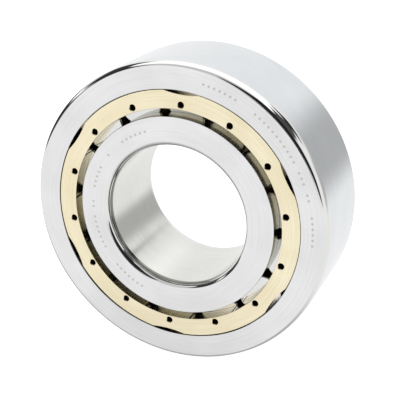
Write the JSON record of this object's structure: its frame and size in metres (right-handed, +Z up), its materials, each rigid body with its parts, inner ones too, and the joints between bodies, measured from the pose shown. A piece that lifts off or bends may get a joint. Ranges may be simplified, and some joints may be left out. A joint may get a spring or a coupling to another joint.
{
  "type": "cylindrical roller bearing",
  "caption": "Single-row cylindrical roller bearing with a ribbed outer ring, one inner rib and an outer-rib-guided machined brass cage.",
  "frame": {"origin": "on the bearing's axis, midway between its two faces", "axes": "+Y along the axis from the front (ribbed, pilot-hole side) to the back, +Z up, +X to the right seen from the front"},
  "size_m": [0.15, 0.051, 0.15],
  "materials": {
    "ring_steel": "ground bearing steel",
    "roller_steel": "superfinished bearing steel",
    "cage_brass": "machined brass, fine turning marks"
  },
  "bodies": {
    "outer_ring": {"outer_ring": "ring_steel"},
    "inner_ring": {"inner_ring": "ring_steel"},
    "cage": {"cage_comb": "cage_brass", "cage_cover": "cage_brass"},
    "roller_01": {"roller_01": "roller_steel"},
    "roller_02": {"roller_02": "roller_steel"},
    "roller_03": {"roller_03": "roller_steel"},
    "roller_04": {"roller_04": "roller_steel"},
    "roller_05": {"roller_05": "roller_steel"},
    "roller_06": {"roller_06": "roller_steel"},
    "roller_07": {"roller_07": "roller_steel"},
    "roller_08": {"roller_08": "roller_steel"},
    "roller_09": {"roller_09": "roller_steel"},
    "roller_10": {"roller_10": "roller_steel"},
    "roller_11": {"roller_11": "roller_steel"},
    "roller_12": {"roller_12": "roller_steel"},
    "roller_13": {"roller_13": "roller_steel"},
    "roller_14": {"roller_14": "roller_steel"}
  },
  "joints": [
    {"name": "inner_ring_spin", "type": "hinge", "parent": "outer_ring", "child": "inner_ring", "pos_m": [0, 0, 0], "axis": [0, 1, 0], "continuous": true},
    {"name": "cage_spin", "type": "hinge", "parent": "outer_ring", "child": "cage", "pos_m": [0, 0, 0], "axis": [0, 1, 0], "continuous": true},
    {"name": "roller_01_spin", "type": "hinge", "parent": "cage", "child": "roller_01", "pos_m": [0.00349, 0, 0.05541], "axis": [0, 1, 0], "continuous": true},
    {"name": "roller_02_spin", "type": "hinge", "parent": "cage", "child": "roller_02", "pos_m": [0.02718, 0, 0.04841], "axis": [0, 1, 0], "continuous": true},
    {"name": "roller_03_spin", "type": "hinge", "parent": "cage", "child": "roller_03", "pos_m": [0.0455, 0, 0.03182], "axis": [0, 1, 0], "continuous": true},
    {"name": "roller_04_spin", "type": "hinge", "parent": "cage", "child": "roller_04", "pos_m": [0.0548, 0, 0.00893], "axis": [0, 1, 0], "continuous": true},
    {"name": "roller_05_spin", "type": "hinge", "parent": "cage", "child": "roller_05", "pos_m": [0.05325, 0, -0.01573], "axis": [0, 1, 0], "continuous": true},
    {"name": "roller_06_spin", "type": "hinge", "parent": "cage", "child": "roller_06", "pos_m": [0.04115, 0, -0.03727], "axis": [0, 1, 0], "continuous": true},
    {"name": "roller_07_spin", "type": "hinge", "parent": "cage", "child": "roller_07", "pos_m": [0.0209, 0, -0.05144], "axis": [0, 1, 0], "continuous": true},
    {"name": "roller_08_spin", "type": "hinge", "parent": "cage", "child": "roller_08", "pos_m": [-0.00349, 0, -0.05541], "axis": [0, 1, 0], "continuous": true},
    {"name": "roller_09_spin", "type": "hinge", "parent": "cage", "child": "roller_09", "pos_m": [-0.02718, 0, -0.04841], "axis": [0, 1, 0], "continuous": true},
    {"name": "roller_10_spin", "type": "hinge", "parent": "cage", "child": "roller_10", "pos_m": [-0.0455, 0, -0.03182], "axis": [0, 1, 0], "continuous": true},
    {"name": "roller_11_spin", "type": "hinge", "parent": "cage", "child": "roller_11", "pos_m": [-0.0548, 0, -0.00893], "axis": [0, 1, 0], "continuous": true},
    {"name": "roller_12_spin", "type": "hinge", "parent": "cage", "child": "roller_12", "pos_m": [-0.05325, 0, 0.01573], "axis": [0, 1, 0], "continuous": true},
    {"name": "roller_13_spin", "type": "hinge", "parent": "cage", "child": "roller_13", "pos_m": [-0.04115, 0, 0.03727], "axis": [0, 1, 0], "continuous": true},
    {"name": "roller_14_spin", "type": "hinge", "parent": "cage", "child": "roller_14", "pos_m": [-0.0209, 0, 0.05144], "axis": [0, 1, 0], "continuous": true}
  ],
  "couplings": [
    {"joint": "cage_spin", "follows": "inner_ring_spin", "ratio": 0.4009},
    {"joint": "roller_01_spin", "follows": "inner_ring_spin", "ratio": -2.4236},
    {"joint": "roller_02_spin", "follows": "inner_ring_spin", "ratio": -2.4236},
    {"joint": "roller_03_spin", "follows": "inner_ring_spin", "ratio": -2.4236},
    {"joint": "roller_04_spin", "follows": "inner_ring_spin", "ratio": -2.4236},
    {"joint": "roller_05_spin", "follows": "inner_ring_spin", "ratio": -2.4236},
    {"joint": "roller_06_spin", "follows": "inner_ring_spin", "ratio": -2.4236},
    {"joint": "roller_07_spin", "follows": "inner_ring_spin", "ratio": -2.4236},
    {"joint": "roller_08_spin", "follows": "inner_ring_spin", "ratio": -2.4236},
    {"joint": "roller_09_spin", "follows": "inner_ring_spin", "ratio": -2.4236},
    {"joint": "roller_10_spin", "follows": "inner_ring_spin", "ratio": -2.4236},
    {"joint": "roller_11_spin", "follows": "inner_ring_spin", "ratio": -2.4236},
    {"joint": "roller_12_spin", "follows": "inner_ring_spin", "ratio": -2.4236},
    {"joint": "roller_13_spin", "follows": "inner_ring_spin", "ratio": -2.4236},
    {"joint": "roller_14_spin", "follows": "inner_ring_spin", "ratio": -2.4236}
  ]
}
